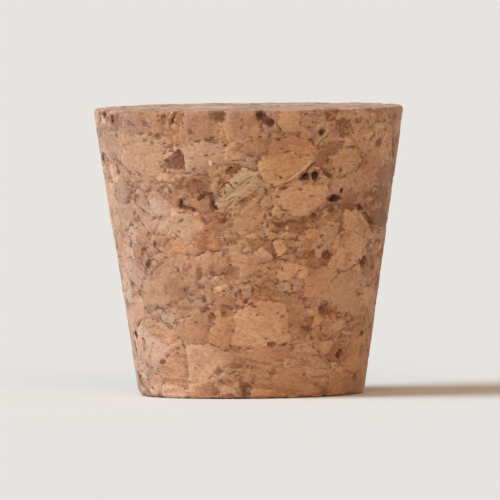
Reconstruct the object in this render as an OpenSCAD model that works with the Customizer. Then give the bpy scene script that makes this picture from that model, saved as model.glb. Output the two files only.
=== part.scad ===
// Tapered bottle stopper, ground from pressed cork granules.
//
// It stands upright on its narrow end. The origin is the centre of that end,
// +Z runs up the axis to the wide end, and -Y is the front. Millimetres.

/* [Body] */
// Diameter across the wide end
wide_d = 23.8; // [20:0.1:32]
// Diameter across the narrow end
narrow_d = 17.2; // [12:0.1:19]
// Length from the narrow end to the wide end
height = 22; // [14:0.5:36]

/* [Edges] */
// Radius of the worn edge round the wide end
wide_edge_r = 0.35; // [0.1:0.05:0.9]
// Radius of the worn edge round the narrow end
narrow_edge_r = 0.35; // [0.1:0.05:0.9]

/* [Scattered pits] */
// Pits torn in the flank, outside the front
flank_pits = 84; // [0:1:120]
// Pits torn in the wide end
wide_end_pits = 22; // [0:1:34]
// Pits torn in the narrow end
narrow_end_pits = 11; // [0:1:18]
// Length of the shortest scattered pit
pit_l_min = 0.6; // [0.4:0.1:0.8]
// Length of the longest scattered pit
pit_l_max = 1.7; // [0.9:0.1:2.2]
// Depth of the shallowest scattered pit
pit_depth_min = 0.2; // [0.15:0.05:0.4]
// Depth of the deepest scattered pit
pit_depth_max = 0.75; // [0.45:0.05:1.1]
// Margin of whole cork round each end face, clear of its pits
end_margin = 1.3; // [1:0.1:2]
// Radius of whole cork at the centre of each end face
end_centre_r = 3; // [2:0.5:4]
// Pattern of the scattered pits
pit_pattern = 9; // [1:1:40]

/* [Fallen crumbs] */
// Shallow chips in the flank, each the bed of a crumb that fell out
flank_chips = 38; // [0:1:60]
// Shallow chips in the wide end
wide_end_chips = 12; // [0:1:20]
// Shallow chips in the narrow end
narrow_end_chips = 6; // [0:1:10]
// Length of the shortest scattered chip
chip_l_min = 1; // [0.7:0.1:1.2]
// Length of the longest scattered chip
chip_l_max = 1.9; // [1.3:0.1:2.4]
// Depth of the scattered chips
chip_depth = 0.2; // [0.12:0.02:0.3]

/* [Cracks] */
// Width of the cracks between granules
crack_w = 0.3; // [0.2:0.02:0.5]
// Depth of the cracks between granules
crack_depth = 0.3; // [0.2:0.05:0.7]

/* [Hidden] */

$fn = 180;
cork = [0.69, 0.51, 0.38];
edge_steps = 4;      // straight steps in each worn edge
proud = 1.2;         // how far a cutter stands out of the surface
ragged = 0.35;       // how far a pit's corners wander in, as a share
pit_slimmest = 0.45; // width of the slimmest pit, as a share of its length
pit_tilt = 16;       // most that a scattered pit's floor leans
pit_corners = [3, 6];  // fewest and most corners of a scattered pit
chip_corners = [4, 5]; // and of a scattered chip
turn_wander = 0.3;     // how far these stray round the flank, as a share of a golden turn
crack_overrun = 0.6; // how far a stretch of crack runs past its end, as a share of its width
crack_taper = 0.3;   // how far before its end it starts to narrow, as a share of its width
golden_turn = 137.508;
flank_seed = 100;      // seeds that set the patterns of the flank, the ends and the chips apart
wide_end_seed = 500;
narrow_end_seed = 700;
chip_seed = 30;
flank_seed_step = 7;   // from one cutter of a pattern to the next
end_seed_step = 11;
front_turn = 66;       // half of the sweep that the placed pits cover
front_drop = 10.2;     // depth below the wide end that they cover

taper = atan2((wide_d - narrow_d) / 2, height); // half-angle of the flank

// Pits on the front, where granules lost a corner or fell out:
// [turn from the front, drop below the wide end, roll, length, width, depth, corners, lean]
front_pits = [
    [4.4, 0.3, 70, 0.95, 0.8, 0.5, 6, 0],      // double pit that breaks the wide edge
    [6.6, 0.7, -42, 1.5, 0.6, 0.3, 5, 0],
    [8.7, 1.05, 25, 0.85, 0.7, 0.5, 6, 0],
    [26.8, 5.1, 80, 0.8, 0.66, 0.8, 9, 0],     // round hole and its three-cornered neighbour
    [22.5, 5.2, 198, 1, 0.6, 0.5, 3, 10],
    [36.4, 6.85, 22, 0.95, 0.55, 0.45, 5, 12],
    [40.1, 6.2, 30, 0.5, 0.4, 0.25, 5, 0],
    [-29.7, 3.85, 188, 2.4, 1.75, 0.25, 3, -7], // wide three-cornered chips, deepest on the right
    [-11.2, 0.5, 182, 1.95, 1.25, 0.25, 3, -8],
    [-7.4, 4.5, 28, 1.2, 0.6, 0.25, 5, 9],
    [-21.2, 5.8, -6, 2, 1.3, 0.2, 7, 5],       // shallow bed of a lost flake
    [28.3, 1.75, 0, 0.55, 0.45, 0.22, 5, 0],
    [14, 5.95, 10, 0.6, 0.4, 0.18, 4, 10],
    [51.3, 7.6, 60, 0.7, 0.5, 0.25, 5, 12],
    [58, 6.5, 90, 0.55, 0.4, 0.2, 4, 0],
    [35.4, 7.7, 15, 0.75, 0.45, 0.2, 5, 10],
    [42.2, 7.5, -30, 0.6, 0.4, 0.18, 4, 0],
    [27.4, 8.2, 35, 0.8, 0.5, 0.2, 5, -10],
    [-10.2, 8.5, 5, 0.7, 0.4, 0.18, 3, 10],
    [-33.4, 0.55, 60, 0.7, 0.45, 0.18, 5, 0],
    [-36.5, 1.9, 0, 0.5, 0.4, 0.16, 4, 0],
    [-61.5, 0.8, 80, 0.95, 0.6, 0.2, 6, 8],
    [-52, 6.8, 40, 1.2, 0.8, 0.16, 4, 0],      // beds of fallen crumbs
    [61, 7.6, 80, 1.2, 0.7, 0.2, 5, 0],
    [11.6, 8.8, 10, 1, 0.5, 0.16, 4, 0],
    [47.5, 1.9, 20, 1.1, 0.8, 0.16, 4, 0],
];

// Open cracks on the front, each a run of [turn, drop] points
front_cracks = [
    [[-20.9, 6.8], [-18.6, 6.4], [-16, 6.4], [-14.8, 6.9], [-15.6, 7.3], [-13.2, 7.6]],
    [[-28.5, 6.8], [-29.2, 7.3], [-26.5, 7.4], [-22.4, 7.6]],
    [[-24.8, -0.1], [-28.5, 0.3], [-29.6, 1]],
    [[30.3, 4.6], [33.8, 5.2]],
    [[55.2, 8.1], [63.5, 9.2]],
];

// Radius of the flank a given drop below the wide end
function flank_r(drop) = wide_d / 2 - drop * tan(taper);

// Arc of a worn edge: points on a circle round [x, z], swept from one angle to another
function worn_edge(x, z, r, from, to) =
    [for (k = [0:edge_steps]) let (a = from + (to - from) * k / edge_steps)
        [x + r * cos(a), z + r * sin(a)]];

// Half of the body's section, with both arcs tangent to the end and to the flank
function body_section() =
    let (
        wide_x = wide_d / 2 - wide_edge_r * (1 + sin(taper)) / cos(taper),
        narrow_x = narrow_d / 2 - narrow_edge_r * (1 - sin(taper)) / cos(taper)
    )
    concat(
        [[0, 0]],
        worn_edge(narrow_x, narrow_edge_r, narrow_edge_r, -90, -taper),
        worn_edge(wide_x, height - wide_edge_r, wide_edge_r, -taper, 90),
        [[0, height]]
    );

// Ragged outline of a pit. Three-cornered pits keep their sharp corners.
function pit_outline(l, w, corners, seed) =
    let (wander = rands(corners > 3 ? 1 - ragged : 1, 1, corners, seed))
    [for (k = [0:corners - 1]) let (a = 360 * k / corners)
        [l / 2 * wander[k] * cos(a), w / 2 * wander[k] * sin(a)]];

// Sets children on the flank with +Z straight out of it and +Y up the slope
module on_flank(turn, drop) {
    rotate([0, 0, turn])
        translate([0, -flank_r(drop), height - drop])
            rotate([90 + taper, 0, 0])
                children();
}

// Cutter for one pit, sunk below the XY plane by its depth. Its lean dips the first corner.
module pit(l, w, depth, corners, roll, lean, seed) {
    rotate([0, lean, roll])
        translate([0, 0, -depth])
            linear_extrude(height = depth + proud)
                polygon(pit_outline(l, w, corners, seed));
}

// Whole number of corners from the fewest to the most, by a pick from 0 to 1
function corner_count(range, pick) = range[0] + floor((range[1] - range[0] + 1) * pick);

// Cutter for a pit of a size, shape and lean that its seed picks; small shallow ones are commoner
module scattered_pit(seed) {
    pick = rands(0, 1, 6, seed);
    l = pit_l_min + (pit_l_max - pit_l_min) * pick[0] * pick[0];
    w = l * (pit_slimmest + (1 - pit_slimmest) * pick[1]);
    depth = pit_depth_min + (pit_depth_max - pit_depth_min) * pick[2] * pick[2];
    corners = corner_count(pit_corners, pick[3]);
    pit(l, w, depth, corners, 360 * pick[4], pit_tilt * (2 * pick[5] - 1), seed);
}

// Cutter for a shallow chip of a size and shape that its seed picks
module scattered_chip(seed) {
    pick = rands(0, 1, 4, seed);
    l = chip_l_min + (chip_l_max - chip_l_min) * pick[0];
    w = l * (pit_slimmest + (1 - pit_slimmest) * pick[1]);
    pit(l, w, chip_depth, corner_count(chip_corners, pick[2]), 360 * pick[3], 0, seed);
}

// Outline of one stretch of a crack, pointed at both ends
function crack_outline(l) =
    let (
        tip = l / 2 + crack_overrun * crack_w,
        shoulder = l / 2 - crack_taper * crack_w,
        side = crack_w / 2
    )
    [[-tip, 0], [-shoulder, -side], [shoulder, -side], [tip, 0], [shoulder, side], [-shoulder, side]];

// Cutter for a crack that runs along [turn, drop] points on the flank
module crack(points) {
    for (k = [1:len(points) - 1]) {
        a = points[k - 1];
        b = points[k];
        mid = (a + b) / 2;
        along = flank_r(mid[1]) * (b[0] - a[0]) * PI / 180;
        up = (a[1] - b[1]) / cos(taper);
        on_flank(mid[0], mid[1])
            rotate([0, 0, atan2(up, along)])
                translate([0, 0, -crack_depth])
                    linear_extrude(height = crack_depth + proud)
                        polygon(crack_outline(norm([along, up])));
    }
}

// Pits and cracks of the front, each at its own place
module front_wear() {
    for (k = [0:len(front_pits) - 1]) {
        p = front_pits[k];
        on_flank(p[0], p[1]) pit(p[3], p[4], p[5], p[6], p[2], p[7], k);
    }
    for (run = front_cracks) crack(run);
}

// Sets children evenly round the rest of the flank on a golden spiral, each with its own $seed
module round_flank(count, seed) {
    shift = rands(-0.5, 0.5, 2 * count + 2, seed);
    for (k = [0:1:count - 1]) {
        drop = height * (k + 0.5 + shift[2 * k]) / count;
        turn = (k + shift[2 * k + 1] * turn_wander) * golden_turn % 360;
        from_front = min(turn, 360 - turn);
        $seed = seed + flank_seed_step * k + flank_seed;
        if (from_front > front_turn || drop > front_drop)
            on_flank(turn, drop) children();
    }
}

// Sets children evenly over an end face, clear of its edge and its centre, each with its own $seed
module over_end(face_r, count, seed) {
    outer = face_r - end_margin;
    for (k = [0:1:count - 1]) {
        reach = sqrt((k + 0.5) / count);
        $seed = seed + end_seed_step * k + pit_pattern;
        rotate([0, 0, k * golden_turn + seed])
            translate([end_centre_r + (outer - end_centre_r) * reach, 0, 0])
                children();
    }
}

module stopper() {
    color(cork)
        difference() {
            rotate_extrude() polygon(body_section());
            front_wear();
            round_flank(flank_pits, pit_pattern) scattered_pit($seed);
            round_flank(flank_chips, pit_pattern + chip_seed) scattered_chip($seed);
            translate([0, 0, height]) {
                over_end(wide_d / 2, wide_end_pits, wide_end_seed) scattered_pit($seed);
                over_end(wide_d / 2, wide_end_chips, wide_end_seed + chip_seed) scattered_chip($seed);
            }
            mirror([0, 0, 1]) {
                over_end(narrow_d / 2, narrow_end_pits, narrow_end_seed) scattered_pit($seed);
                over_end(narrow_d / 2, narrow_end_chips, narrow_end_seed + chip_seed) scattered_chip($seed);
            }
        }
}

stopper();
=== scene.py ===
import math
import random

import bmesh
import bpy
from mathutils import Matrix, Vector


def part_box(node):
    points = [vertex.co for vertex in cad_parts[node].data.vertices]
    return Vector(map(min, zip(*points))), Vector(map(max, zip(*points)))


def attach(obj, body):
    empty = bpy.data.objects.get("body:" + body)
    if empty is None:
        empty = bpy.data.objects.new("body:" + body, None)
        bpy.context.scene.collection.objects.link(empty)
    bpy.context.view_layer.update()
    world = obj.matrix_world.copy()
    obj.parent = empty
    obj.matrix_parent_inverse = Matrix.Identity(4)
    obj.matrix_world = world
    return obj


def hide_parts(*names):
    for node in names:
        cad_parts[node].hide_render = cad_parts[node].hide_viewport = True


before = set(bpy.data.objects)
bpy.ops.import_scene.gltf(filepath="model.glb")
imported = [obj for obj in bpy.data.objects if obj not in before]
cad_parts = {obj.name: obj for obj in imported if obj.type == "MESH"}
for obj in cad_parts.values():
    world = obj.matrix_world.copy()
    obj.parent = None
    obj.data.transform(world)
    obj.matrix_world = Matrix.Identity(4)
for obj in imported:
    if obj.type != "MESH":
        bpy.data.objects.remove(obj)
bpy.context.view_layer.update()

mm = 0.001
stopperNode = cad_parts["stopper"]


def paint(red, green, blue):  # a paint colour given as 0-255, turned into light values
    channels = [value / 255 for value in (red, green, blue)]
    return [c / 12.92 if c < 0.04 else ((c + 0.055) / 1.055) ** 2.4 for c in channels] + [1.0]


def addNode(tree, kind, inputs=None, out=0, **options):
    node = tree.nodes.new(kind)
    for name, value in options.items():
        setattr(node, name, value)
    for key, value in (inputs or {}).items():
        if isinstance(value, bpy.types.NodeSocket):
            tree.links.new(value, node.inputs[key])
        else:
            node.inputs[key].default_value = value
    return node.outputs[out]


def calc(tree, operation, *terms):
    return addNode(tree, "ShaderNodeMath", dict(enumerate(terms)), operation=operation)


def steer(tree, operation, *terms, out=0):
    return addNode(tree, "ShaderNodeVectorMath", dict(enumerate(terms)), out, operation=operation)


def scaleBy(tree, vector, amount):
    return addNode(tree, "ShaderNodeVectorMath", {0: vector, 3: amount}, operation="SCALE")


def part(tree, vector, axis):  # one of the three numbers of a vector
    return addNode(tree, "ShaderNodeSeparateXYZ", {0: vector}, axis)


def ramp(tree, value, low, high, atLow=0.0, atHigh=1.0):  # eased step from one value to another
    return addNode(tree, "ShaderNodeMapRange", {0: value, 1: low, 2: high, 3: atLow, 4: atHigh},
                   interpolation_type="SMOOTHSTEP")


def mixValue(tree, share, a, b):
    return addNode(tree, "ShaderNodeMix", {0: share, 2: a, 3: b}, 0, data_type="FLOAT")


def mixVector(tree, share, a, b):
    return addNode(tree, "ShaderNodeMix", {0: share, 4: a, 5: b}, 1, data_type="VECTOR")


def mixColor(tree, share, a, b, blend="MIX"):
    return addNode(tree, "ShaderNodeMix", {0: share, 6: a, 7: b}, 2, data_type="RGBA",
                   blend_type=blend, clamp_factor=True)


def noise(tree, place, size, detail=2.0, rough=0.5, out=0):  # size is one swell of it, in mm
    return addNode(tree, "ShaderNodeTexNoise",
                   {"Vector": place, "Scale": 1 / size, "Detail": detail, "Roughness": rough}, out)


def shake(tree, place, *kind):  # a random push in any direction
    return steer(tree, "SUBTRACT", noise(tree, place, *kind, out=1), (0.5, 0.5, 0.5))


def fromEnd(tree, place):  # how far a point in mm stands from the nearer end
    z = part(tree, place, 2)
    return calc(tree, "MINIMUM", z, calc(tree, "SUBTRACT", height / mm, z))


# shares of the height that the flank's widest points are looked for between
taperBands = {"narrow end": (-1.0, 0.12), "wide end": (0.88, 0.975), "flank": (0.04, 0.96)}


def measureTaper(node, tall):  # narrow end's radius and the slope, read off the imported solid
    points = [node.matrix_world @ v.co for v in node.data.vertices]
    rings = [(p.z, math.hypot(p.x, p.y)) for p in points]

    def widest(band, slope=0.0):
        least, most = taperBands[band]
        return max((r - slope * z, z) for z, r in rings if least * tall < z < most * tall)

    low, high = widest("narrow end"), widest("wide end")
    slope = (high[0] - low[0]) / (high[1] - low[1])
    return widest("flank", slope)[0], slope


lowCorner, highCorner = [Vector(corner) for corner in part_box("stopper")]
height = highCorner.z - lowCorner.z
narrowRadius, taper = measureTaper(stopperNode, height)
print("cork is", round(height / mm, 2), "mm tall, narrow end radius", round(narrowRadius / mm, 3),
      "mm, taper", round(taper, 4))

tones = {
    "tan": (190, 142, 106), "sand": (199, 154, 118), "rosy": (193, 150, 119), "pale": (204, 159, 119),
    "honey": (192, 142, 101), "russet": (182, 130, 92), "grey": (190, 158, 126), "brown": (152, 103, 69),
    # cream is the ground-off dust's tone, and also that of the painted highlights on the front
    "rust": (164, 113, 82), "olive": (138, 108, 72), "cream": (218, 180, 147), "lilac": (164, 121, 104),
    "bark": (122, 78, 53), "speck": (92, 56, 42), "plum": (118, 72, 64), "char": (72, 40, 27),
    "salmon": (190, 139, 108), "ash": (193, 153, 126), "straw": (203, 158, 114), "moss": (180, 147, 106),
    "umber": (136, 90, 56), "fawn": (177, 133, 101), "drab": (160, 120, 91),
}

# sizes are in mm; a noise is its size, detail and roughness; a fade runs from one value to
# the next and is followed by what it gives at each, 0 and 1 where nothing is said
grain = {                              # how the granules lie
    "coarse size": 3.8,                # the larger granules
    "fine size": 1.2,                  # the crumbs between them
    "crumb share": 0.45,               # how much of the cork is crumbs
    "flatness": 1.45,                  # granules lie flatter than they are wide by this
    "offset": (13.7, 5.2, 40.1),       # where in the endless pattern this cork is cut
    "wander": 0.6,                     # how far granule edges stray from straight
    "wander noise": (2.3, 2.0, 0.5),
    "wander gain": 2.0,
    "jag": 0.13,                       # their fine raggedness
    "jag noise": (0.6, 4.0, 0.68),
    "jag gain": 4.0,
    "placed wander": 0.22,             # shares of these for the granules placed on the front
    "placed jag": 1.1,
    "mark jag": 0.5,                   # and for the marks on it
    "corner stray": 0.25,              # how far their corners turn, in radians
    "placed depth": 1.5,               # how deep the placed granules reach
    "placed edge": (-0.12, 0.04, 1.0, 0.0),
    "spin": 6.3,                       # most that growth lines turn, in radians
    "seed": 5,
    "seam width": 0.17,
    "seam fade": 0.02,                 # a seam is fully open up to here
    "gape noise": (0.8, 4.0, 0.7),     # where seams gape
    "gape fade": (0.49, 0.62),
    "pore size": 1.15,                 # spacing of the little pores
    "pore share": 0.17,
    "pore least": 0.06,                # radius of the least pore, as a share of the spacing
    "pore spread": 0.15,               # what the widest has more
    "pore fade": (0.45, 1.15, 1.0, 0.0),
}

# granules on the front: turn and drop of the middle, roll, length, width, corners, tone
frontGranules = [
    (-50, 1.0, -5, 4.2, 2.0, 6, "fawn"),
    (-66, 2.6, 0, 3.0, 2.4, 6, "fawn"),
    (-62, 6.3, 10, 3.0, 2.2, 5, "fawn"),
    (-48, 7.6, -35, 4.0, 2.4, 6, "rosy"),
    (-7, 3.2, 35, 2.6, 1.2, 5, "pale"),
    (17, 8.9, 0, 3.2, 1.2, 5, "rust"),
    (41, 5.9, 0, 3.0, 1.4, 6, "sand"),
    (67, 3.2, 80, 3.6, 2.4, 5, "sand"),
    (49, 1.0, 0, 3.6, 2.0, 6, "rosy"),
    (0, 8.0, 40, 4.2, 2.2, 6, "sand"),
    (-29, 8.7, -8, 3.6, 2.1, 5, "rosy"),
    (57, 4.4, 70, 3.4, 2.8, 5, "russet"),
    (47, 8.7, 0, 3.6, 1.7, 3, "sand"),
    (52, 2.1, 0, 1.8, 0.9, 4, "pale"),
    (37.8, 1.5, 85, 1.8, 0.7, 5, "brown"),
]

# the clearest granules by their corners, clockwise: tone, roll of the growth lines, (turn, drop)
frontShapes = [
    ("sand", 14, [(8.5, 6.4), (12, 5.4), (21.2, 5.0), (22, 5.9), (13.5, 6.6)]),
    ("sand", 30, [(8.6, 6.7), (12.5, 6.4), (15, 7.9), (12.5, 8.4), (8.9, 7.9)]),
    ("tan", 4, [(-61, 3.7), (-55, 2.7), (-42, 2.3), (-34, 2.5), (-35, 4.6), (-44, 5.6), (-56, 5.2)]),
    ("rosy", 20, [(-28, 2.8), (-19, 2.2), (-9.5, 2.5), (-10, 3.9), (-14.5, 4.8), (-27, 4.8)]),
    ("salmon", 80, [(-25.6, 1.4), (-24.4, -0.2), (-16.4, -0.2), (-12.6, 1.4), (-13.2, 2.0),
                    (-18, 2.3), (-23.4, 2.1)]),
    ("fawn", 70, [(-8.4, -0.2), (3, -0.2), (4, 1.5), (-1, 2.2), (-7.3, 2.4)]),
    ("pale", 88, [(10.8, 0.9), (11.6, -0.2), (19.5, -0.2), (20, 1.7), (12, 1.9)]),
    ("rosy", -60, [(19.6, 0.7), (24, 1.5), (26, 2.4), (19.2, 2.1)]),
    ("grey", 80, [(26, 1.2), (27.5, 0.2), (31, 0.4), (32, 1.6), (30.6, 2.5), (27.2, 2.4)]),
    ("fawn", 12, [(-4.8, 3.2), (-0.8, 2.4), (9, 2.1), (10.5, 3.2), (2.5, 3.6)]),
    ("honey", 4, [(9, 2.3), (16, 2.05), (24, 2.3), (26, 3.0), (25.5, 3.7), (7, 3.3)]),
    ("straw", 24, [(3, 3.8), (10, 3.3), (16, 3.2), (25.4, 3.7), (25.2, 4.2), (20.4, 5.1), (13.5, 5.8),
                   (7, 5.7), (3.4, 5.1)]),
    ("sand", 4, [(10, 6.8), (13.2, 6.1), (24, 5.6), (33, 5.8), (34.6, 6.5), (31, 7.4), (24, 7.9),
                (15, 7.8)]),
    ("grey", 60, [(2, 5.2), (5, 5.2), (9, 5.9), (5, 6.6), (1, 6.2)]),
    ("grey", 44, [(-14.3, 7.0), (-8.6, 5.4), (-2.5, 4.3), (3.6, 4.7), (4.6, 5.8), (-0.5, 6.6),
                  (-8.5, 7.5), (-13, 7.6)]),
    ("umber", 10, [(-10.2, 4.8), (-7.8, 4.2), (-3.8, 4.2), (-4.6, 4.8), (-8.2, 5.0)]),
    ("rust", -4, [(-26, 5.8), (-24, 5.1), (-18, 5.0), (-16, 5.7), (-17.5, 6.2), (-23, 6.3)]),
    ("pale", 0, [(33.6, 3.8), (39.5, 2.9), (46, 3.0), (50.5, 3.9), (47, 4.8), (40, 5.1), (35.4, 4.7)]),
    ("rust", 50, [(29.2, 2.9), (33, 2.5), (38.6, 2.6), (34, 3.6), (30.8, 3.5)]),
    ("umber", 8, [(-35.2, 4.1), (-26.2, 3.0), (-25.8, 4.5), (-30, 4.5)]),
    ("olive", 2, [(-16.2, 0.2), (-15.5, -0.1), (-8.9, -0.1), (-9.4, 0.9), (-12.4, 0.9)]),
    ("char", 16, [(20.4, 5.3), (23.6, 4.8), (24.1, 5.4)]),
    ("pale", 60, [(-16.2, 5.3), (-14, 4.9), (-10.8, 5.1), (-13.4, 6.5), (-15.4, 6.2)]),
    ("ash", -30, [(-46.5, 6.6), (-43, 6.1), (-38, 6.4), (-33, 7.2), (-35, 8.2), (-43, 7.9)]),
    ("rosy", 80, [(4, 6.8), (8.8, 6.2), (9.6, 7.4), (4.6, 7.8)]),
    # these three darker shapes on the lower right are painted shade, darkening the front towards its
    # right edge there
    ("rust", 0, [(60, 5.2), (65, 4.5), (76, 4.4), (84, 5.0), (80, 5.8), (66, 6.1)]),
    ("umber", 4, [(59, 6.7), (65, 6.1), (74, 6.2), (80, 6.8), (74, 7.4), (66, 7.3)]),
    ("umber", -6, [(58, 8.2), (66, 7.7), (78, 7.9), (86, 8.7), (78, 9.4), (63, 9.1)]),
    ("moss", 70, [(62.4, 7.2), (65, 6.9), (67.6, 7.4), (65, 7.9)]),
    ("russet", 0, [(64, 0.6), (68, -0.2), (79, -0.2), (84, 0.6), (76, 1.5), (69, 1.3)]),
    ("russet", 0, [(40.5, 6.4), (46.5, 6.2), (49, 7.0), (46, 7.4), (41, 7.3)]),
    ("moss", 10, [(48, 6.5), (51, 6.1), (53.6, 6.5), (52, 7.1), (49, 7.1)]),
    ("rust", 20, [(-19.5, 7.9), (-14, 7.5), (-8, 7.6), (-6.5, 8.9), (-12, 9.3), (-19, 9.2)]),
]

# bark flecks, torn spots, light patches and a few painted highlights on the front: turn, drop, roll,
# length, width, tone
frontMarks = [
    (4.8, 0.35, 0, 0.8, 0.65, "char"), (6.7, 0.9, -50, 1.1, 0.6, "plum"),
    (8.8, 1.05, 80, 0.55, 0.42, "bark"), (6.6, 1.55, 80, 0.6, 0.4, "lilac"),
    (7.9, 2.0, 90, 0.42, 0.32, "bark"), (-61.5, 0.8, 15, 1.5, 0.95, "umber"),
    (-57, 0.9, 65, 1.5, 0.75, "umber"), (-57.4, 0.6, 65, 0.7, 0.5, "bark"),
    (-42.4, 1.0, 0, 0.6, 0.45, "bark"), (-59.4, 1.35, -20, 0.9, 0.35, "umber"),
    (-32.8, 0.7, 75, 1.0, 0.4, "bark"), (-30.3, 0.9, 82, 1.1, 0.3, "bark"),
    (-36.8, 2.0, 10, 0.8, 0.28, "bark"), (-40.2, 1.85, 20, 0.5, 0.22, "bark"),
    (-22.4, 1.65, 60, 0.5, 0.36, "bark"), (-19.8, 2.35, 10, 0.7, 0.2, "bark"),
    (-2.3, 0.75, 80, 0.4, 0.24, "umber"), (18.4, 1.75, 70, 0.45, 0.3, "rust"),
    (28.5, 1.75, 60, 0.8, 0.55, "bark"), (28.6, 1.85, 60, 0.45, 0.3, "char"),
    (30.8, 0.6, 70, 0.8, 0.5, "bark"), (25, 2.5, -60, 0.55, 0.24, "bark"),
    (27.4, 2.9, -50, 0.5, 0.24, "bark"), (44.6, 1.0, 85, 0.45, 0.4, "bark"),
    (60, 2.75, 10, 1.2, 0.75, "bark"), (74.5, 2.8, 80, 0.8, 0.8, "bark"),
    # the cream mark at turn -15.1, drop 4.0 is a painted highlight, a small glint
    (72, 0.8, 0, 1.3, 0.6, "bark"), (-15.1, 4.0, 90, 0.4, 0.34, "cream"),
    (-63.5, 4.8, 0, 0.6, 0.3, "bark"), (-53.6, 4.8, 60, 0.42, 0.36, "bark"),
    (-48.6, 4.85, -30, 0.6, 0.32, "bark"), (-18.6, 6.5, 20, 0.75, 0.38, "bark"),
    (-28.6, 7.0, 60, 0.5, 0.42, "speck"), (-28, 7.35, -12, 1.0, 0.34, "bark"),
    (-14.6, 7.25, -50, 0.7, 0.36, "speck"), (-15.6, 6.5, 30, 0.5, 0.26, "bark"),
    (-23, 7.6, -10, 0.6, 0.3, "bark"), (-18.5, 8.45, -50, 0.6, 0.3, "bark"),
    (-10.8, 8.4, 20, 0.9, 0.42, "bark"), (26.8, 5.1, 80, 0.95, 0.76, "bark"),
    (24.8, 5.3, 80, 0.5, 0.26, "lilac"), (27.4, 4.5, -10, 0.7, 0.16, "pale"),
    (38.3, 4.72, 80, 0.42, 0.34, "bark"), (37, 6.88, 6, 1.4, 0.6, "char"),
    (37.6, 6.4, 20, 0.6, 0.34, "lilac"), (40, 6.3, 30, 0.55, 0.36, "char"),
    (35.6, 7.7, 40, 0.8, 0.5, "bark"), (42.4, 7.5, -70, 0.5, 0.4, "bark"),
    (39.5, 7.5, 30, 0.6, 0.32, "bark"), (51.5, 7.65, -14, 1.4, 0.5, "speck"),
    (54.8, 6.7, 60, 0.6, 0.4, "bark"), (57.5, 6.6, 0, 0.8, 0.3, "bark"),
    (59.5, 7.6, 80, 0.9, 0.8, "umber"), (75, 6.8, 80, 0.8, 0.6, "bark"),
    (71, 7.9, 10, 1.4, 0.3, "bark"), (22.3, 8.6, 20, 0.9, 0.42, "bark"),
    (12, 8.8, -40, 0.6, 0.28, "bark"), (17, 8.5, 0, 0.9, 0.28, "bark"),
    (15.5, 9.0, 90, 0.36, 0.3, "pale"), (6.2, 8.1, 80, 0.4, 0.3, "bark"),
    (13.6, 6.0, 10, 0.7, 0.28, "bark"), (-56.5, 6.75, -10, 0.9, 0.3, "bark"),
    (-48.4, 7.7, -30, 0.6, 0.32, "bark"), (-42.5, 8.25, 20, 0.6, 0.26, "bark"),
    (-29, 8.4, 20, 0.6, 0.26, "bark"), (-36.8, 5.9, 35, 0.7, 0.32, "bark"),
    (-33.2, 6.2, -60, 0.5, 0.3, "bark"), (-58.5, 8.8, 0, 0.8, 0.3, "bark"),
    (-63.6, 7.8, 20, 0.7, 0.3, "bark"), (-55.3, 7.9, 40, 0.5, 0.26, "bark"),
    (-55, 2.7, -10, 0.7, 0.2, "brown"), (-50, 1.95, 0, 0.6, 0.2, "brown"),
    (59, 1.5, 0, 1.7, 0.6, "rosy"), (52.5, 4.2, 20, 0.5, 0.3, "bark"),
    (57.5, 7.05, 0, 0.8, 0.3, "fawn"), (27, 8.05, 0, 0.5, 0.3, "char"),
    (-32.6, 3.45, 16, 1.6, 0.5, "tan"), (-64, 7.8, 0, 3.0, 1.4, "drab"),
    (-40, 8.7, 10, 1.7, 0.8, "rosy"), (2.3, 1.6, 80, 0.9, 0.8, "tan"),
    (-3.5, 8.75, 10, 1.2, 0.5, "russet"), (-21.8, 8.75, 0, 0.9, 0.7, "rosy"),
    (56, 7.6, -30, 1.2, 0.5, "bark"), (57, 0.4, 0, 1.9, 0.36, "brown"),
    # the two pale patches near the left edge are painted light, brightening the lit left rim
    (-71, 4.7, 90, 1.2, 0.8, "pale"), (-70.5, 0.8, 0, 1.2, 0.8, "pale"),
    (-33.5, 7.75, -10, 1.1, 0.6, "sand"), (21, 7.95, -4, 2.0, 0.4, "rosy"),
]

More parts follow.
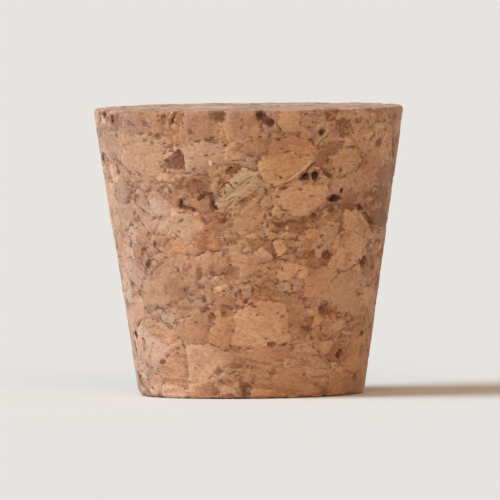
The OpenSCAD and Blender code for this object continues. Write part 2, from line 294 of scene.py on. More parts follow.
# thin lines between the front's granules and along them: tone, width, the (turn, drop) points
frontLines = [
    ("bark", 0.18, [(25.2, 4.2), (22.9, 4.8), (20, 5.2)]),
    ("char", 0.26, [(23.2, 5.0), (20.9, 5.3)]),
    ("rust", 0.12, [(20, 5.2), (17, 5.6), (14.5, 5.9)]),
    ("bark", 0.18, [(29.4, 4.5), (32.2, 4.9), (34.4, 5.3)]),
    ("char", 0.12, [(26.7, 4.1), (24.5, 4.4), (22.6, 4.9)]),
    ("bark", 0.22, [(30.1, 7.9), (33.1, 7.4), (37.9, 7.3), (42.8, 7.5), (50.6, 7.4), (54.2, 7.8)]),
    ("bark", 0.24, [(53, 8.0), (57.5, 8.5), (62.5, 9.1)]),
    ("umber", 0.2, [(26.6, 8.1), (29.0, 8.4), (31.3, 8.0)]),
    ("bark", 0.24, [(10.2, 8.6), (13.2, 8.9), (16.1, 8.6), (19.4, 8.5), (23.1, 8.7)]),
    ("bark", 0.16, [(-20.9, 6.8), (-18.6, 6.4), (-16, 6.4), (-14.8, 6.9), (-15.6, 7.2), (-13.4, 7.5)]),
    ("bark", 0.16, [(-29.1, 6.9), (-28.7, 7.3), (-25.6, 7.4), (-22.1, 7.6)]),
    ("bark", 0.18, [(-19.4, 8.2), (-17.9, 8.6), (-16.2, 8.4)]),
    ("bark", 0.18, [(-14.2, 8.1), (-10.6, 8.5), (-9.5, 7.9)]),
    ("umber", 0.2, [(-25.4, -0.1), (-28.5, 0.3), (-29.7, 1.0)]),
    ("umber", 0.22, [(-56.8, 4.4), (-53.4, 4.9)]),
    ("umber", 0.22, [(-50.7, 4.6), (-47.5, 5.0)]),
    ("speck", 0.14, [(-12, 6.1), (-10.0, 5.6), (-8.1, 5.5), (-6.2, 5.9)]),
    ("bark", 0.16, [(-26.1, 3.1), (-26.2, 4.5)]),
    ("umber", 0.16, [(-35, 4.1), (-31.5, 4.4), (-26.4, 4.5)]),
    ("brown", 0.16, [(-25.8, 5.3), (-22.5, 5.0), (-18.4, 5.1), (-16.1, 5.7)]),
    ("umber", 0.24, [(-25.2, 6.1), (-21.1, 6.3), (-16.8, 6.0)]),
    ("umber", 0.18, [(-40.1, 5.6), (-36.2, 5.4), (-31.6, 5.6), (-29.9, 6.4)]),
    ("umber", 0.2, [(-38.0, 6.3), (-34.7, 5.7), (-33.0, 6.1)]),
    ("brown", 0.14, [(-5.1, 3.2), (-1.4, 2.5), (1.7, 2.2)]),
    ("bark", 0.12, [(-9.9, 4.2), (-6.2, 4.1), (-4.5, 4.3)]),
    ("umber", 0.22, [(30.4, 3.5), (34.0, 3.5), (37, 3.0), (38.6, 2.6)]),
    ("umber", 0.14, [(27.0, 3.0), (28.2, 2.5), (30.5, 2.1)]),
    ("umber", 0.18, [(47, 4.8), (49, 4.5), (51.2, 4.3)]),
    ("umber", 0.15, [(-40.7, 1.7), (-37.6, 1.9), (-35.4, 1.8)]),
    ("umber", 0.15, [(-35.5, 0.2), (-33.3, 0.6), (-32.2, 1.2)]),
    ("brown", 0.2, [(-5.7, 6.8), (-9.4, 7.4), (-10.4, 8.0)]),
    ("brown", 0.18, [(0.8, 6.9), (-3.1, 7.4), (-5.0, 8.1)]),
    ("rust", 0.26, [(10.8, 2.6), (16.0, 2.5), (19.3, 2.7)]),
    ("umber", 0.14, [(-53.1, 7.1), (-50.5, 7.5)]),
    ("brown", 0.14, [(-47, 3.4), (-42.5, 3.4)]),
    ("bark", 0.2, [(63.1, 6.9), (67.4, 7.6)]),
    ("pale", 0.12, [(-11.5, 7.2), (-8, 6.5), (-3.0, 6.3), (0.8, 5.5)]),
    ("pale", 0.1, [(-7, 5.6), (-2.8, 4.9), (0.6, 4.8)]),
    ("olive", 0.12, [(-9.6, 6.6), (-5, 5.9), (-1, 5.2), (2, 5.0)]),
    ("olive", 0.12, [(-12, 7.0), (-9, 6.9), (-5, 6.5)]),
    # the cream line is a painted highlight along the lower edge of the straw granule
    ("cream", 0.12, [(16, 5.3), (20.2, 4.8), (24.6, 4.0)]),
    ("pale", 0.2, [(-9, 1.1), (-8.6, 1.7), (-7.4, 2.3)]),
]

# where dark specks and brown blots lie thick on the front: turn, drop, roll, length, width, share
speckFields = [
    (-60, 1.1, 0, 6.5, 2.4, 0.9), (-36, 1.1, 0, 3.8, 2.4, 0.75), (57, 0.9, 0, 7.5, 2.2, 0.9),
    (-52, 6.9, 0, 8.5, 3.0, 0.2), (-30, 6.4, -20, 5.0, 2.0, 0.55), (37, 7.7, 12, 4.6, 1.4, 0.95),
    (17, 8.7, 0, 4.6, 1.2, 0.95), (61, 7.0, -60, 4.8, 2.8, 0.9), (30, 1.3, 0, 3.0, 3.0, 0.75),
    (-13, 8.0, -30, 3.4, 1.4, 0.8), (-13, 2.3, 0, 4.0, 0.8, 0.6), (70, 3.0, 80, 4.0, 2.6, 0.7),
    (-7, 8.4, 0, 4.6, 1.4, 0.7), (54, 5.4, -60, 3.0, 1.6, 0.5),
]


def flankRadius(z):  # radius of the ideal cork at a height, in mm
    return narrowRadius / mm + taper * z


def sideWeights(turn, drop, angle, away):  # turns (turn, height, 1) into a distance, 1 at away
    z = height / mm - drop
    across, up = math.cos(angle) * flankRadius(z), math.sin(angle)
    return across / away, up / away, -(across * math.radians(turn) + up * z) / away


def granuleSides(granule, pick):  # a granule's straight sides
    turn, drop, roll, length, width, corners, tone = granule
    sides, reach = [], 0
    for side in range(corners):
        angle = 2 * math.pi * (side + 0.5) / corners
        if corners > 3:
            angle += pick.uniform(-grain["corner stray"], grain["corner stray"])
        inner = math.cos(math.pi / corners)
        away = inner * math.hypot(length / 2 * math.cos(angle), width / 2 * math.sin(angle))
        sides.append(sideWeights(turn, drop, angle + math.radians(roll), away))
        reach += away / corners
    return sides, reach


def shapeSides(corners):  # the same for a granule given by its corners, 1 more than the distance
    middle = sum(drop for turn, drop in corners) / len(corners)
    radius = flankRadius(height / mm - middle)
    places = [Vector((radius * math.radians(turn), height / mm - drop)) for turn, drop in corners]
    sides = []
    for here, there in zip(places, places[1:] + places[:1]):
        along = (there - here).normalized()
        out = Vector((-along.y, along.x))
        sides.append((out.x * radius, out.y, 1 - out.dot(here)))
    return sides


def grainSpin(turn, roll):  # turns a granule's growth lines to run at its roll
    a, r = math.radians(turn), math.radians(roll)
    side, up = Vector((math.cos(a), math.sin(a), 0)), Vector((0, 0, 1))
    along = math.cos(r) * side + math.sin(r) * up
    across = math.cos(r) * up - math.sin(r) * side
    return tuple(Matrix((across, along, across.cross(along))).to_euler("XYZ"))


def flankPlace(tree, place):  # (turn, height, 1) of a point, and how deep it lies under the flank
    x, y, z = [part(tree, place, axis) for axis in range(3)]
    turn = calc(tree, "ARCTAN2", x, calc(tree, "MULTIPLY", y, -1.0))
    onFlank = addNode(tree, "ShaderNodeCombineXYZ", {0: turn, 1: z, 2: 1.0})
    radius = steer(tree, "LENGTH", addNode(tree, "ShaderNodeCombineXYZ", {0: x, 1: y}), out=1)
    ideal = calc(tree, "MULTIPLY_ADD", z, taper, narrowRadius / mm)
    return onFlank, calc(tree, "SUBTRACT", ideal, radius)


def lineMarks():  # each stretch of a line is a long thin mark
    for tone, width, points in frontLines:
        for (turnA, dropA), (turnB, dropB) in zip(points, points[1:]):
            turn, drop = (turnA + turnB) / 2, (dropA + dropB) / 2
            across = math.radians(turnB - turnA) * flankRadius(height / mm - drop)
            up = dropA - dropB
            yield (turn, drop, math.degrees(math.atan2(up, across)),
                   math.hypot(across, up) + 2 * width, width, tone)


def ovalAxes(oval):  # weights that give 0 in the middle of an oval on the flank, 1 at its edge
    turn, drop, roll, length, width = oval[:5]
    return {"Along": sideWeights(turn, drop, math.radians(roll), length / 2),
            "Across": sideWeights(turn, drop, math.radians(roll + 90), width / 2)}


def useGroup(tree, name, inputs, takes, gives, fill):  # one copy of a node group, built on first use
    title = name + " for " + tree.type.lower()
    group = bpy.data.node_groups.get(title)
    if group is None:
        group = bpy.data.node_groups.new(title, tree.bl_idname)
        for way, sockets in (("INPUT", takes), ("OUTPUT", gives)):
            for label, sort in sockets.items():
                group.interface.new_socket(label, in_out=way, socket_type="NodeSocket" + sort)
        given = group.nodes.new("NodeGroupInput").outputs
        results = fill(group, given)
        end = group.nodes.new("NodeGroupOutput")
        for label in gives:
            group.links.new(results[label], end.inputs[label])
    kind = tree.bl_idname.replace("Tree", "Group")
    node = addNode(tree, kind, inputs, node_tree=group).node
    return {label: node.outputs[label] for label in gives}


def fillOval(tree, given):
    u = steer(tree, "DOT_PRODUCT", given["Place"], given["Along"], out=1)
    v = steer(tree, "DOT_PRODUCT", given["Place"], given["Across"], out=1)
    reach = steer(tree, "LENGTH", addNode(tree, "ShaderNodeCombineXYZ", {0: u, 1: v}), out=1)
    return {"Nearest": calc(tree, "MINIMUM", reach, given["Nearest"])}


farOff = 100.0    # further than any mark


def ovalReach(tree, onFlank, oval, nearest=farOff):  # the lesser of its reach and another
    inputs = {"Place": onFlank, "Nearest": nearest, **ovalAxes(oval)}
    takes = {"Place": "Vector", "Along": "Vector", "Across": "Vector", "Nearest": "Float"}
    return useGroup(tree, "oval", inputs, takes, {"Nearest": "Float"}, fillOval)["Nearest"]


mostSides = 9
corkSockets = {"Seam": "Float", "Kind": "Vector", "Crumbs": "Float", "Shade": "Color",
               "Spin": "Vector", "Covered": "Float"}


def fillGranule(tree, given):  # lays one granule over what is there
    share = given["Buried"]
    for side in range(mostSides):
        share = calc(tree, "MAXIMUM", share,
                     steer(tree, "DOT_PRODUCT", given["Place"], given["Side " + str(side)], out=1))
    away = calc(tree, "MULTIPLY", calc(tree, "SUBTRACT", share, 1.0), given["Reach"])
    inside = calc(tree, "LESS_THAN", away, 0.0)
    edge = calc(tree, "ABSOLUTE", away)
    soft = ramp(tree, away, *grain["placed edge"])
    return {
        "Seam": mixValue(tree, inside, calc(tree, "MINIMUM", given["Seam"], edge), edge),
        "Kind": mixVector(tree, inside, given["Kind"], given["New Kind"]),
        "Crumbs": calc(tree, "MULTIPLY", given["Crumbs"], calc(tree, "SUBTRACT", 1.0, inside)),
        "Shade": mixColor(tree, soft, given["Shade"], given["New Shade"]),
        "Spin": mixVector(tree, inside, given["Spin"], given["New Spin"]),
        "Covered": calc(tree, "MAXIMUM", given["Covered"], soft),
    }


def layGranule(tree, onFlank, buried, sides, reach, cork, fresh):
    takes = {"Place": "Vector", "Buried": "Float", "Reach": "Float", **corkSockets,
             "New Kind": "Vector", "New Shade": "Color", "New Spin": "Vector"}
    inputs = {"Place": onFlank, "Buried": buried, "Reach": reach, **cork, **fresh}
    for side in range(mostSides):
        takes["Side " + str(side)] = "Vector"
        inputs["Side " + str(side)] = sides[side % len(sides)]
    return useGroup(tree, "granule", inputs, takes, corkSockets, fillGranule)


def layGranules(tree, place, sizes):  # place is the point in mm; gives what the cork is there
    moved = steer(tree, "MULTIPLY_ADD", place, (1.0, 1.0, grain["flatness"]), grain["offset"])
    sway = scaleBy(tree, shake(tree, moved, *grain["wander noise"]),
                   calc(tree, "MULTIPLY", sizes["wander"], grain["wander gain"]))
    frayed = scaleBy(tree, shake(tree, moved, *grain["jag noise"]),
                     calc(tree, "MULTIPLY", sizes["jag"], grain["jag gain"]))
    stray = steer(tree, "ADD", frayed, sway)
    bent = steer(tree, "ADD", moved, steer(tree, "MULTIPLY", stray, (1.0, 1.0, grain["flatness"])))

    cells = {}
    for name in ("coarse size", "fine size"):
        fit = {"Vector": bent, "Scale": calc(tree, "DIVIDE", 1.0, sizes[name])}
        edge = addNode(tree, "ShaderNodeTexVoronoi", fit, feature="DISTANCE_TO_EDGE")
        cells[name] = (addNode(tree, "ShaderNodeTexVoronoi", fit, 1),
                       calc(tree, "MULTIPLY", sizes[name], edge))
    coarse, coarseEdge = cells["coarse size"]
    fine, fineEdge = cells["fine size"]
    crumbs = calc(tree, "LESS_THAN", part(tree, coarse, 0), sizes["crumb share"])
    seam = mixValue(tree, crumbs, coarseEdge, calc(tree, "MINIMUM", coarseEdge, fineEdge))
    both = steer(tree, "ADD", fine, coarse)
    crumbKind = addNode(tree, "ShaderNodeTexWhiteNoise", {"Vector": both}, 1)
    coarseKind = addNode(tree, "ShaderNodeTexWhiteNoise", {"Vector": coarse}, 1)
    kind = mixVector(tree, crumbs, coarseKind, crumbKind)

    # the granules placed on the front lie over the rest
    strayed = steer(tree, "ADD", scaleBy(tree, stray, grain["placed wander"]),
                    scaleBy(tree, frayed, grain["placed jag"]))
    onFlank, under = flankPlace(tree, steer(tree, "ADD", place, strayed))
    buried = calc(tree, "DIVIDE", under, grain["placed depth"])
    pick = random.Random(grain["seed"])
    placed = [(*granuleSides(granule, pick), grainSpin(granule[0], granule[2]), granule[6])
              for granule in frontGranules]
    placed += [(shapeSides(corners), 1.0, grainSpin(corners[0][0], roll), tone)
               for tone, roll, corners in frontShapes]
    there = {"Seam": seam, "Kind": kind, "Crumbs": crumbs, "Shade": paint(*tones["tan"]),
             "Spin": scaleBy(tree, kind, grain["spin"]), "Covered": 0.0}
    for sides, reach, lie, tone in placed:
        fresh = {"New Kind": [pick.random() for axis in range(3)], "New Spin": lie,
                 "New Shade": paint(*tones[tone])}
        there = layGranule(tree, onFlank, buried, sides, reach, there, fresh)

    pores = addNode(tree, "ShaderNodeTexVoronoi", {
        "Vector": bent, "Scale": calc(tree, "DIVIDE", 1.0, sizes["pore size"])})
    porePick = pores.node.outputs[1]
    isOpen = calc(tree, "LESS_THAN", part(tree, porePick, 0), sizes["pore share"])
    brim = calc(tree, "MULTIPLY_ADD", part(tree, porePick, 1), grain["pore spread"],
                grain["pore least"])
    pore = calc(tree, "MULTIPLY", isOpen,
                ramp(tree, calc(tree, "DIVIDE", pores, brim), *grain["pore fade"]))
    there = {label.lower(): value for label, value in there.items()}
    return {**there, "pore": pore, "bent": bent, "moved": moved, "frayed": frayed}


def openSeams(tree, cork, rim, least):  # seams gape in some stretches and close in others
    gape = ramp(tree, noise(tree, cork["moved"], *grain["gape noise"]), *grain["gape fade"],
                least, 1.0)
    return calc(tree, "MULTIPLY", gape, ramp(tree, cork["seam"], grain["seam fade"], rim, 1.0, 0.0))


def layMarks(tree, place, cork):  # for each tone, 0 in the middle of its nearest mark, 1 at its edge
    frayed = steer(tree, "ADD", place, scaleBy(tree, cork["frayed"], grain["mark jag"]))
    onFlank = flankPlace(tree, frayed)[0]
    reach = {}
    for mark in [*frontMarks, *lineMarks()]:
        tone = mark[5]
        reach[tone] = ovalReach(tree, onFlank, mark, reach.get(tone, farOff))
    return reach


def depthUnder(tree, place):  # how deep a point lies under the ground surface of flank and ends
    return calc(tree, "MINIMUM", flankPlace(tree, place)[1], fromEnd(tree, place))


relief = {                     # the cork's skin
    "spacing": 0.1,            # between its points before it is thinned
    "triangles": 188000,       # after it is thinned
    "weld": 0.0005,            # points of the solid nearer than this are one
    "true band": 0.04,         # points nearer than this to the cone go exactly on it
    "worn end": 0.5,           # but not this near to an end
    "crease": 55,              # degrees between faces that makes a sharp edge
    "seam depth": 0.09,
    "least gape": 0.2,         # how open a seam is where it doesn't gape
    "pore depth": 0.18,
    "mark depth": 0.06,
    "mark fade": (0.6, 1.1, 1.0, 0.0),
    "swell": 0.06,             # how much one granule stands over the next
    "swell fade": (0.0, 0.35),
    "chip depth": 0.07,        # crumbs that wore down
    "chip share": 0.1,
    "chip fade": (0.0, 0.12),
    "fuzz": 0.035,
    "fuzz noise": (0.45, 4.0, 0.65),
    "torn fuzz": (0.1, 0.3, 1.0, 3.0),      # torn floors are the roughest, by depth
    "clear": 0.005,            # nothing stands nearer to the ground surface than this
    "torn fade": (0.1, 0.16),  # depth at which a pit counts as torn
    "slump steps": 2,
    "fray": 0.55,              # how far the edges of torn pits stray sideways
    "fray noise": (0.26, 1.0, 0.5),
    "fray steps": 4,           # how far round a pit it reaches, in points
    "fray fade": (0.0, 0.25),
    "level fade": (0.5, 1.5),  # near an end they stray level with it
}


def resampleSolid(node, spacing):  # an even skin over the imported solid, in mm
    mesh = node.data.copy()
    mesh.materials.clear()
    mesh.transform(Matrix.Scale(1 / mm, 4) @ node.matrix_world)
    shell = bmesh.new()
    shell.from_mesh(mesh)
    bmesh.ops.remove_doubles(shell, verts=shell.verts, dist=relief["weld"])
    shell.to_mesh(mesh)
    shell.free()
    blank = bpy.data.objects.new("blank", mesh)
    bpy.context.collection.objects.link(blank)
    remesh = blank.modifiers.new("even skin", "REMESH")
    remesh.mode = "VOXEL"
    remesh.voxel_size = spacing
    remesh.use_smooth_shade = True
    skin = finishedMesh(blank)
    trueUp(skin)
    return skin


def finishedMesh(piece):  # the piece's mesh with its modifiers applied; the piece itself goes
    mesh = bpy.data.meshes.new_from_object(piece.evaluated_get(bpy.context.evaluated_depsgraph_get()))
    bpy.data.objects.remove(piece)
    return mesh


def trueUp(skin):  # points that lie on the flank go exactly on the cone
    low, high = relief["worn end"], height / mm - relief["worn end"]
    for vertex in skin.vertices:
        x, y, z = vertex.co
        r = math.hypot(x, y)
        gap = flankRadius(z) - r
        if low < z < high and abs(gap) < relief["true band"]:
            vertex.co = (x * (r + gap) / r, y * (r + gap) / r, z)


def blend(tree, value, rounds, weight=1.0, sort="FLOAT"):  # with the value at the points around
    return addNode(tree, "GeometryNodeBlurAttribute", {0: value, 1: rounds, 2: weight},
                   data_type=sort)


def loosenPits(tree, skin, place):  # gives the skin with its torn pits slumped and frayed
    torn = ramp(tree, depthUnder(tree, place), *relief["torn fade"])
    slumped = blend(tree, place, relief["slump steps"], torn, "FLOAT_VECTOR")
    nearPit = ramp(tree, blend(tree, torn, relief["fray steps"]), *relief["fray fade"])
    drift = shake(tree, place, *relief["fray noise"])
    out = steer(tree, "NORMALIZE", steer(tree, "MULTIPLY", place, (1.0, 1.0, 0.0)))
    outward = scaleBy(tree, out, steer(tree, "DOT_PRODUCT", drift, out, out=1))
    level = ramp(tree, fromEnd(tree, place), *relief["level fade"])
    flat = addNode(tree, "ShaderNodeCombineXYZ", {0: 1.0, 1: 1.0, 2: level})
    along = steer(tree, "MULTIPLY", steer(tree, "SUBTRACT", drift, outward), flat)
    sideways = scaleBy(tree, along, calc(tree, "MULTIPLY", nearPit, relief["fray"]))
    return addNode(tree, "GeometryNodeSetPosition", {
        "Geometry": skin, "Offset": sideways, "Position": slumped})


def makeReliefTree(material):
    tree = bpy.data.node_groups.new("ground cork", "GeometryNodeTree")
    tree.interface.new_socket("Skin", in_out="INPUT", socket_type="NodeSocketGeometry")
    names = ["coarse size", "fine size", "crumb share", "wander", "jag", "seam width", "pore size",
             "pore share", "seam depth", "pore depth", "mark depth", "swell", "chip depth", "fuzz"]
    for name in names:
        tree.interface.new_socket(name, in_out="INPUT", socket_type="NodeSocketFloat")
    tree.interface.new_socket("Cork", in_out="OUTPUT", socket_type="NodeSocketGeometry")
    given = tree.nodes.new("NodeGroupInput")
    sizes = {name: given.outputs[name] for name in names}

    # the way out is kept from before the pits are loosened, so that no face is turned over
    kept = tree.nodes.new("GeometryNodeCaptureAttribute")
    kept.capture_items.new("VECTOR", "Out")
    tree.links.new(given.outputs["Skin"], kept.inputs["Geometry"])
    tree.links.new(addNode(tree, "GeometryNodeInputNormal"), kept.inputs["Out"])
    place = addNode(tree, "GeometryNodeInputPosition")
    softened = loosenPits(tree, kept.outputs["Geometry"], place)

    cork = layGranules(tree, place, sizes)
    gape = openSeams(tree, cork, sizes["seam width"], relief["least gape"])
    depth = calc(tree, "MULTIPLY", gape, sizes["seam depth"])
    depth = calc(tree, "MULTIPLY_ADD", cork["pore"], sizes["pore depth"], depth)
    marks = layMarks(tree, place, cork)
    nearest = calc(tree, "MINIMUM", calc(tree, "MINIMUM", marks["char"], marks["bark"]), marks["plum"])
    dent = ramp(tree, nearest, *relief["mark fade"])
    depth = calc(tree, "MULTIPLY_ADD", dent, sizes["mark depth"], depth)
    stand = part(tree, cork["kind"], 2)
    lost = calc(tree, "MULTIPLY", cork["crumbs"],
                calc(tree, "LESS_THAN", stand, relief["chip share"]))
    chip = calc(tree, "MULTIPLY", lost, ramp(tree, cork["seam"], *relief["chip fade"]))
    depth = calc(tree, "MULTIPLY_ADD", chip, sizes["chip depth"], depth)
    crown = calc(tree, "MULTIPLY", stand, ramp(tree, cork["seam"], *relief["swell fade"]))
    raised = calc(tree, "MULTIPLY", crown, sizes["swell"])
    rough = ramp(tree, depthUnder(tree, place), *relief["torn fuzz"])
    fuzz = calc(tree, "SUBTRACT", noise(tree, cork["moved"], *relief["fuzz noise"]), 0.5)
    fuzz = calc(tree, "MULTIPLY", fuzz, calc(tree, "MULTIPLY", sizes["fuzz"], rough))
    lift = calc(tree, "ADD", calc(tree, "SUBTRACT", raised, depth), fuzz)
    lift = calc(tree, "MINIMUM", calc(tree, "SUBTRACT", lift, sizes["swell"]), -relief["clear"])
    offset = scaleBy(tree, kept.outputs["Out"], lift)
    shaped = addNode(tree, "GeometryNodeSetPosition", {"Geometry": softened, "Offset": offset})
    whole = addNode(tree, "GeometryNodeRealizeInstances", {"Geometry": shaped})
    done = addNode(tree, "GeometryNodeSetMaterial", {"Geometry": whole, "Material": material})
    result = tree.nodes.new("NodeGroupOutput")
    tree.links.new(done, result.inputs["Cork"])
    return tree


def makeStopper(material):
    skin = resampleSolid(stopperNode, relief["spacing"])
    print("skin has", len(skin.vertices), "points and", len(skin.polygons), "faces")
    work = bpy.data.objects.new("cork work", skin)
    bpy.context.collection.objects.link(work)
    tree = makeReliefTree(material)
    modifier = work.modifiers.new("ground cork", "NODES")
    modifier.node_group = tree
    values = {**grain, **relief}
    for item in tree.interface.items_tree:
        if item.in_out == "INPUT" and item.name in values:
            modifier[item.identifier] = values[item.name]
    thin = work.modifiers.new("thin out", "DECIMATE")
    thin.ratio = relief["triangles"] / (2 * len(skin.polygons))
    mesh = finishedMesh(work)
    mesh.transform(Matrix.Scale(mm, 4))
    mesh.set_sharp_from_angle(angle=math.radians(relief["crease"]))
    mesh.name = "cork stopper"
    piece = bpy.data.objects.new("cork_stopper", mesh)
    bpy.context.collection.objects.link(piece)
    return piece


finish = {
    "scattered tones": [       # a granule's tone, by share of the granules
        ("tan", 0.28), ("sand", 0.17), ("honey", 0.13), ("rosy", 0.14), ("russet", 0.1),
        ("pale", 0.08), ("grey", 0.02), ("rust", 0.05), ("brown", 0.025), ("bark", 0.005),
    ],
    "crumb tones": 0.12,                    # the last share of them is for crumbs alone
    "lightness": (0.0, 1.0, 0.9, 1.08),     # of the darkest and the lightest granule
    "band stretch": (2.0, 0.5, 0.5),        # growth bands are thin and long
    "band noise": (1.0, 4.0, 0.6),
    "band fade": (0.47, 0.64),
    "band strength": (0.1, 0.9),            # the least, and what the strongest has more
    "placed bands": (0.0, 1.0, 1.0, 0.6),   # weaker on the granules placed on the front
    "band tint": (205, 181, 163),
    "mottle noise": (0.3, 4.0, 0.72),
    "mottle fade": (0.28, 0.62, 0.6, 0.0),
    "mottle tint": (184, 160, 143),
    "stain noise": (3.4, 3.0, 0.55),        # wide faint stains
    "stain fade": (0.42, 0.68, 0.0, 0.5),
    "stain tint": (212, 193, 180),
    "dust fade": (0.58, 0.74, 0.0, 0.35),   # ground-off cork dust
    "speck size": 0.45,                     # spacing of the dark specks
    "speck share": 0.16,                    # of them, away from the thick places
    "speck radius": (0.2, 0.3),             # the least, and what the widest has more
    "speck rag": -1.6,                      # how much the mottle eats into them
    "speck fade": (-0.25, 0.35, 1.0, 0.0),
    "speck drift": (2.4, 2.0, 0.5),         # where they gather
    "drift fade": (0.44, 0.62, 0.0, 0.42),
    "seam specks": (0.04, 0.3, 1.15, 0.3),  # more of them along the seams
    "crumb specks": 0.35,                   # and among the crumbs
    "thick fade": (0.6, 1.15),
    "thick share": 0.8,
    "blot noise": (0.62, 3.0, 0.6),
    "blot fade": (0.5, 0.62, 0.0, 0.75),
    "seam shade": (0.15, 0.06, 0.85),       # width, least gape and strength of dark seams
    "speck strength": 0.85,
    "pore strength": 0.8,
    "break noise": (0.7, 2.0, 0.5),         # what breaks up the edges of pits and marks
    "break gain": 0.9,
    "pit break": 0.4,
    "brown lining and shade depth": (0.46, 0.8, 0.0, 0.65),  # torn pits go brown, then dark, with their depth: their brown lining, and painted shade that deepens into them
    "dark lining and shade depth": (0.72, 1.02, 0.0, 0.6),
    "haloed tones": ("char", "bark", "plum", "speck"),      # marks with a rusty rim
    "halo fade": (1.8, 2.6, 0.35, 0.0),
    "mark fade": (1.5, 2.15, 0.9, 0.0),
    "roughness": (0.72, 0.2),               # the least, and what the mottle adds
    "shine": 0.3,
    "sheen": (0.2, 0.5),                    # weight and roughness
    "pock noise": (0.08, 3.0, 0.7),
    "pock gain": 0.6,
    "bump": (0.6, 0.06),                    # strength and height
}


def scatterTones(tree, pick):  # picks a tone by a number from 0 to 1
    node = tree.nodes.new("ShaderNodeValToRGB")
    node.color_ramp.interpolation = "CONSTANT"
    stops = node.color_ramp.elements
    while len(stops) < len(finish["scattered tones"]):
        stops.new(0.5)
    start = 0
    for stop, (tone, share) in zip(stops, finish["scattered tones"]):
        stop.position = start
        stop.color = paint(*tones[tone])
        start += share
    tree.links.new(pick, node.inputs[0])
    return node.outputs[0]


def darken(tree, tone, share, color):
    return mixColor(tree, share, tone, mixColor(tree, 1.0, tone, paint(*color), "MULTIPLY"))


def tintGranules(tree, cork, mottle):  # each its own tone, with growth bands, mottle and stains
    which = calc(tree, "MULTIPLY", part(tree, cork["kind"], 0),
                 calc(tree, "MULTIPLY_ADD", cork["crumbs"], finish["crumb tones"],
                      1 - finish["crumb tones"]))
    tone = mixColor(tree, cork["covered"], scatterTones(tree, which), cork["shade"])
    light = ramp(tree, part(tree, cork["kind"], 1), *finish["lightness"])
    light = addNode(tree, "ShaderNodeCombineXYZ", {0: light, 1: light, 2: light})
    tone = mixColor(tree, 1.0, tone, light, "MULTIPLY")

    spun = addNode(tree, "ShaderNodeVectorRotate",
                   {"Vector": cork["moved"], "Rotation": cork["spin"]}, rotation_type="EULER_XYZ")
    bands = noise(tree, steer(tree, "MULTIPLY", spun, finish["band stretch"]), *finish["band noise"])
    least, more = finish["band strength"]
    strength = calc(tree, "MULTIPLY_ADD", part(tree, cork["kind"], 2), more, least)
    strength = calc(tree, "MULTIPLY", strength, ramp(tree, cork["covered"], *finish["placed bands"]))
    banding = calc(tree, "MULTIPLY", ramp(tree, bands, *finish["band fade"]), strength)
    tone = darken(tree, tone, banding, finish["band tint"])
    tone = darken(tree, tone, ramp(tree, mottle, *finish["mottle fade"]), finish["mottle tint"])
    stain = noise(tree, cork["moved"], *finish["stain noise"])
    tone = darken(tree, tone, ramp(tree, stain, *finish["stain fade"]), finish["stain tint"])
    return mixColor(tree, ramp(tree, mottle, *finish["dust fade"]), tone, paint(*tones["cream"]))


def sprinkleSpecks(tree, tone, cork, onFlank, mottle):  # thick in some places and along the seams
    often = ramp(tree, noise(tree, cork["moved"], *finish["speck drift"]), *finish["drift fade"])
    often = calc(tree, "ADD", often, finish["speck share"])
    close = ramp(tree, cork["seam"], *finish["seam specks"])
    often = calc(tree, "MULTIPLY", often,
                 calc(tree, "MULTIPLY_ADD", cork["crumbs"], finish["crumb specks"], close))
    thick = 0.0
    for field in speckFields:
        thick = calc(tree, "MAXIMUM", thick,
                     ramp(tree, ovalReach(tree, onFlank, field), *finish["thick fade"], field[5], 0.0))
    often = calc(tree, "MAXIMUM", often, calc(tree, "MULTIPLY", thick, finish["thick share"]))
    blots = ramp(tree, noise(tree, cork["bent"], *finish["blot noise"]), *finish["blot fade"])
    tone = mixColor(tree, calc(tree, "MULTIPLY", blots, thick), tone, paint(*tones["brown"]))

    specks = addNode(tree, "ShaderNodeTexVoronoi",
                     {"Vector": cork["bent"], "Scale": 1 / finish["speck size"]})
    pick = specks.node.outputs[1]
    least, more = finish["speck radius"]
    rim = calc(tree, "MULTIPLY_ADD", part(tree, pick, 1), more, least)
    edge = calc(tree, "MULTIPLY_ADD", mottle, finish["speck rag"], calc(tree, "DIVIDE", specks, rim))
    speck = calc(tree, "MULTIPLY", calc(tree, "LESS_THAN", part(tree, pick, 0), often),
                 ramp(tree, edge, *finish["speck fade"]))
    speckTone = mixColor(tree, part(tree, pick, 2), paint(*tones["speck"]), paint(*tones["bark"]))
    width, leastGape, strength = finish["seam shade"]
    seams = calc(tree, "MULTIPLY", openSeams(tree, cork, width, leastGape), strength)
    tone = mixColor(tree, seams, tone, paint(*tones["speck"]))
    tone = mixColor(tree, calc(tree, "MULTIPLY", speck, finish["speck strength"]), tone, speckTone)
    return mixColor(tree, calc(tree, "MULTIPLY", cork["pore"], finish["pore strength"]), tone,
                    paint(*tones["bark"]))


def tintHollows(tree, tone, cork, place, mottle):  # torn pits, with their lining and painted shade deepening into them, then the marks over everything
    broken = calc(tree, "MULTIPLY_ADD", noise(tree, cork["moved"], *finish["break noise"]),
                  finish["break gain"], mottle)
    # pits go brown, then dark, with depth: partly their own lining, partly painted shade in the hollow
    under = calc(tree, "MULTIPLY_ADD", broken, finish["pit break"], depthUnder(tree, place))
    tone = mixColor(tree, ramp(tree, under, *finish["brown lining and shade depth"]), tone, paint(*tones["bark"]))
    tone = mixColor(tree, ramp(tree, under, *finish["dark lining and shade depth"]), tone, paint(*tones["char"]))
    marks = {name: calc(tree, "ADD", away, broken)
             for name, away in layMarks(tree, place, cork).items()}
    for name, away in marks.items():
        if name in finish["haloed tones"]:
            tone = mixColor(tree, ramp(tree, away, *finish["halo fade"]), tone, paint(*tones["rust"]))
    for name in [name for name in tones if name in marks]:
        share = ramp(tree, marks[name], *finish["mark fade"])
        tone = mixColor(tree, share, tone, paint(*tones[name]))
    return tone


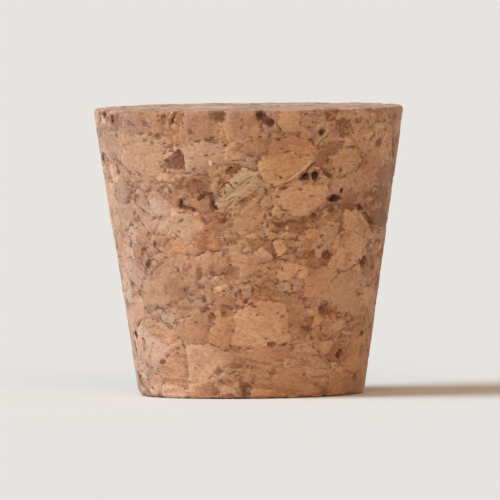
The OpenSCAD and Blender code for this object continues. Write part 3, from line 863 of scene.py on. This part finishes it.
def makeCork():
    material = bpy.data.materials.new("pressed cork")
    material.use_nodes = True
    tree = material.node_tree
    shader = tree.nodes["Principled BSDF"]
    place = scaleBy(tree, addNode(tree, "ShaderNodeTexCoord", out=3), 1 / mm)
    cork = layGranules(tree, place, grain)
    mottle = noise(tree, cork["moved"], *finish["mottle noise"])
    tone = tintGranules(tree, cork, mottle)
    tone = sprinkleSpecks(tree, tone, cork, flankPlace(tree, place)[0], mottle)
    tone = tintHollows(tree, tone, cork, place, mottle)
    tree.links.new(tone, shader.inputs["Base Color"])

    least, more = finish["roughness"]
    tree.links.new(calc(tree, "MULTIPLY_ADD", mottle, more, least), shader.inputs["Roughness"])
    weight, rough = finish["sheen"]
    shader.inputs["Specular IOR Level"].default_value = finish["shine"]
    shader.inputs["Sheen Weight"].default_value = weight
    shader.inputs["Sheen Roughness"].default_value = rough
    pocks = noise(tree, place, *finish["pock noise"])
    rise = calc(tree, "MULTIPLY_ADD", pocks, finish["pock gain"], mottle)
    strength, high = finish["bump"]
    bump = addNode(tree, "ShaderNodeBump", {"Strength": strength, "Distance": high * mm,
                                            "Height": rise})
    tree.links.new(bump, shader.inputs["Normal"])
    return material


corkFinish = makeCork()
stopper = makeStopper(corkFinish)
print("stopper has", len(stopper.data.vertices), "points and", len(stopper.data.polygons), "faces")
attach(stopper, "root")
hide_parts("stopper")

view = {
    "elevation": 2.0,      # degrees the camera looks down
    "roll": 0.7,           # degrees the cork's top leans left
    "lens": 1000.0,        # mm
    "fill": 0.62,          # share of the picture's width that the cork takes
    "aim": 0.5,            # height it looks at, as a share of the cork's
    "farthest": 60,        # metres
}


def placeCamera():
    camera = bpy.data.objects.new("camera", bpy.data.cameras.new("camera"))
    bpy.context.collection.objects.link(camera)
    camera.data.lens = view["lens"]
    wide = (highCorner.x - lowCorner.x) / view["fill"]
    away = wide * view["lens"] / camera.data.sensor_width
    aim = Vector((0, 0, height * view["aim"]))
    tip = math.radians(view["elevation"])
    camera.location = aim + away * Vector((0, -math.cos(tip), math.sin(tip)))
    level = (aim - camera.location).to_track_quat("-Z", "Y").to_matrix()
    lean = Matrix.Rotation(math.radians(-view["roll"]), 3, "Z")
    camera.rotation_euler = (level @ lean).to_euler()
    camera.data.clip_end = view["farthest"]
    bpy.context.scene.camera = camera
    print("camera stands", round(away, 3), "m away")


studio = {
    "floor": (226, 219, 209),
    "floor reach": 4.0,    # metres from the middle to each side
    "backdrop": (236, 233, 228),
    "ambient": 0.36,
    "ambient tint": (255, 246, 232),
    "suns": [    # name, turn, elevation, softness in degrees, level, colour
        ("key", -82, 33, 40, 1.5, (208, 231, 255)),
        ("fill", 6, 22, 60, 0.4, (255, 214, 170)),
        ("bounce", 100, 10, 60, 0.11, (255, 164, 96)),
    ],
}


def lightStudio():
    for name, turn, elevation, softness, level, color in studio["suns"]:
        lamp = bpy.data.lights.new(name, "SUN")
        lamp.angle = math.radians(softness)
        lamp.energy = level * math.pi      # level 1 shows a colour as it is written
        lamp.color = paint(*color)[:3]
        stand = bpy.data.objects.new(name, lamp)
        bpy.context.collection.objects.link(stand)
        a, e = math.radians(turn), math.radians(elevation)
        stand.location = Vector((math.sin(a) * math.cos(e), -math.cos(a) * math.cos(e), math.sin(e)))
        stand.rotation_euler = (-stand.location).to_track_quat("-Z", "Y").to_euler()
    world = bpy.data.worlds.new("studio")
    world.use_nodes = True
    bpy.context.scene.world = world
    tree = world.node_tree
    back = tree.nodes["Background"]
    back.inputs["Color"].default_value = paint(*studio["ambient tint"])
    back.inputs["Strength"].default_value = studio["ambient"]
    seen = addNode(tree, "ShaderNodeBackground", {"Color": paint(*studio["backdrop"]),
                                                  "Strength": 1.0})
    isCamera = addNode(tree, "ShaderNodeLightPath")
    both = addNode(tree, "ShaderNodeMixShader", {0: isCamera, 1: back.outputs[0], 2: seen})
    tree.links.new(both, tree.nodes["World Output"].inputs["Surface"])


def layFloor():
    reach = studio["floor reach"]
    mesh = bpy.data.meshes.new("floor")
    mesh.from_pydata([(-reach, -reach, 0), (reach, -reach, 0), (reach, reach, 0), (-reach, reach, 0)],
                     [], [(0, 1, 2, 3)])
    floor = bpy.data.objects.new("floor", mesh)
    bpy.context.collection.objects.link(floor)
    paper = bpy.data.materials.new("pale paper")
    paper.use_nodes = True
    shader = paper.node_tree.nodes["Principled BSDF"]
    shader.inputs["Base Color"].default_value = paint(*studio["floor"])
    shader.inputs["Roughness"].default_value = 1.0
    shader.inputs["Specular IOR Level"].default_value = 0.0
    mesh.materials.append(paper)


placeCamera()
layFloor()
lightStudio()
bpy.context.scene.view_settings.view_transform = "Standard"
